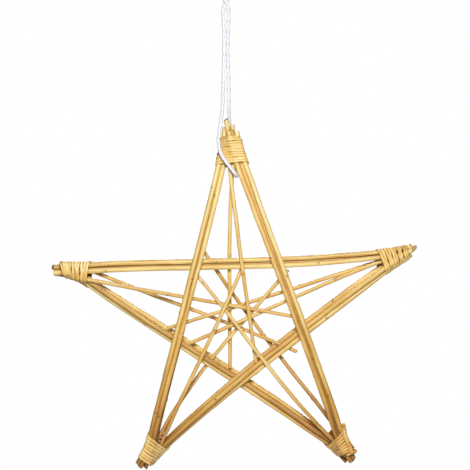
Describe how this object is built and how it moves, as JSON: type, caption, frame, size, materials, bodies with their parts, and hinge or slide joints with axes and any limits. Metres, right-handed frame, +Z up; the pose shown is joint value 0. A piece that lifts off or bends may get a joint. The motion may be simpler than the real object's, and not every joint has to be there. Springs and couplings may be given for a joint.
{
  "type": "wicker star decoration",
  "caption": "Flat open star woven from peeled willow rods, its tips bound with wound cane, hung on a doubled white cord loop.",
  "frame": {"origin": "the point at the top of the hanging cord's loop, on its underside, where a hook bears", "axes": "+Z up along the cord, +X to the right seen from the front, +Y away from the viewer, through the star's thickness"},
  "size_m": [0.3996, 0.0412, 0.5326],
  "materials": {
    "bar_rods": "satin varnished peeled willow",
    "filler_rods": "satin varnished peeled willow",
    "cane_ties": "satin split cane",
    "cord": "matt braided cotton"
  },
  "bodies": {
    "root": {"top_to_lower_left_rod_1": "bar_rods", "top_to_lower_left_rod_2": "bar_rods", "top_to_lower_left_rod_3": "bar_rods", "top_to_lower_right_rod_1": "bar_rods", "top_to_lower_right_rod_2": "bar_rods", "top_to_lower_right_rod_3": "bar_rods", "left_to_right_rod_1": "bar_rods", "left_to_right_rod_2": "bar_rods", "left_to_right_rod_3": "bar_rods", "left_to_lower_right_rod_1": "bar_rods", "left_to_lower_right_rod_2": "bar_rods", "left_to_lower_right_rod_3": "bar_rods", "right_to_lower_left_rod_1": "bar_rods", "right_to_lower_left_rod_2": "bar_rods", "right_to_lower_left_rod_3": "bar_rods", "top_filler_1": "filler_rods", "top_filler_2": "filler_rods", "left_filler_1": "filler_rods", "left_filler_2": "filler_rods", "right_filler_1": "filler_rods", "right_filler_2": "filler_rods", "lower_left_filler_1": "filler_rods", "lower_left_filler_2": "filler_rods", "lower_right_filler_1": "filler_rods", "lower_right_filler_2": "filler_rods", "top_tie": "cane_ties", "left_tie": "cane_ties", "right_tie": "cane_ties", "lower_left_tie": "cane_ties", "lower_right_tie": "cane_ties", "hanging_cord": "cord", "cord_knot": "cord"}
  },
  "joints": []
}
